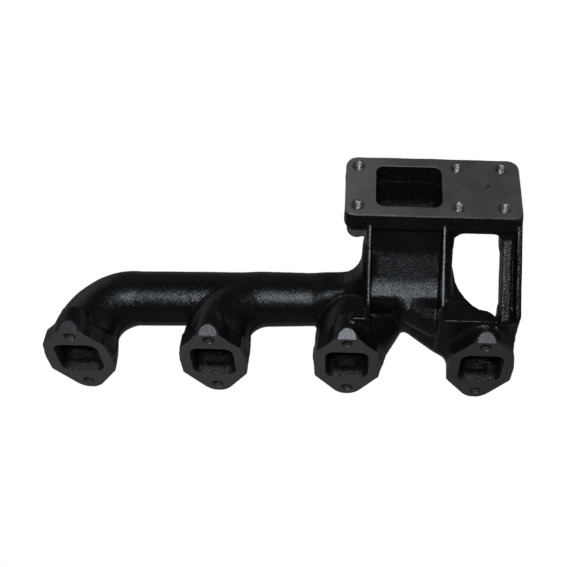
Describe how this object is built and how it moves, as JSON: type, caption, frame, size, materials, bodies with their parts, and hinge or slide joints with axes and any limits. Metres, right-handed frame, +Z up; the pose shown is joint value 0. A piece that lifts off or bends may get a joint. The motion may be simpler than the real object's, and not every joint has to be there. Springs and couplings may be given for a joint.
{
  "type": "exhaust manifold",
  "caption": "Cast-iron turbo exhaust manifold: flanged ports on a log pipe, sloping ribbed riser to a rectangular turbo flange, and a brace post beside an open window.",
  "frame": {"origin": "in the plane of the port faces, midway along the row of ports and midway between the upper and lower bolt holes", "axes": "+X along the row from port 1 to port 4, +Y away from the cylinder head, +Z up, out of the turbocharger face"},
  "size_m": [0.42, 0.139, 0.176],
  "materials": {
    "cast_black": "satin black heat-resistant paint over a sand-cast skin",
    "machined_iron": "matte milled iron, oiled and dark"
  },
  "bodies": {
    "root": {"bolt_boss_1": "cast_black", "bolt_boss_2": "cast_black", "bolt_boss_3": "cast_black", "collector_bowl": "cast_black", "collector_column": "cast_black", "gusset_left": "cast_black", "gusset_right": "cast_black", "log_flare": "cast_black", "log_left": "cast_black", "log_right": "cast_black", "port_flange_1": "machined_iron", "port_flange_2": "machined_iron", "port_flange_3": "machined_iron", "port_flange_4": "machined_iron", "post_bar": "cast_black", "post_foot": "cast_black", "post_rib": "cast_black", "post_web": "cast_black", "runner_1": "cast_black", "runner_2": "cast_black", "runner_3": "cast_black", "runner_3_cheek": "cast_black", "runner_4": "cast_black", "stud_boss_left_front": "cast_black", "stud_boss_left_rear": "cast_black", "stud_boss_middle_front": "cast_black", "stud_boss_middle_rear": "cast_black", "stud_boss_right_front": "cast_black", "stud_boss_right_rear": "cast_black", "turbo_flange": "machined_iron", "web_left": "cast_black", "web_right": "cast_black"}
  },
  "joints": []
}
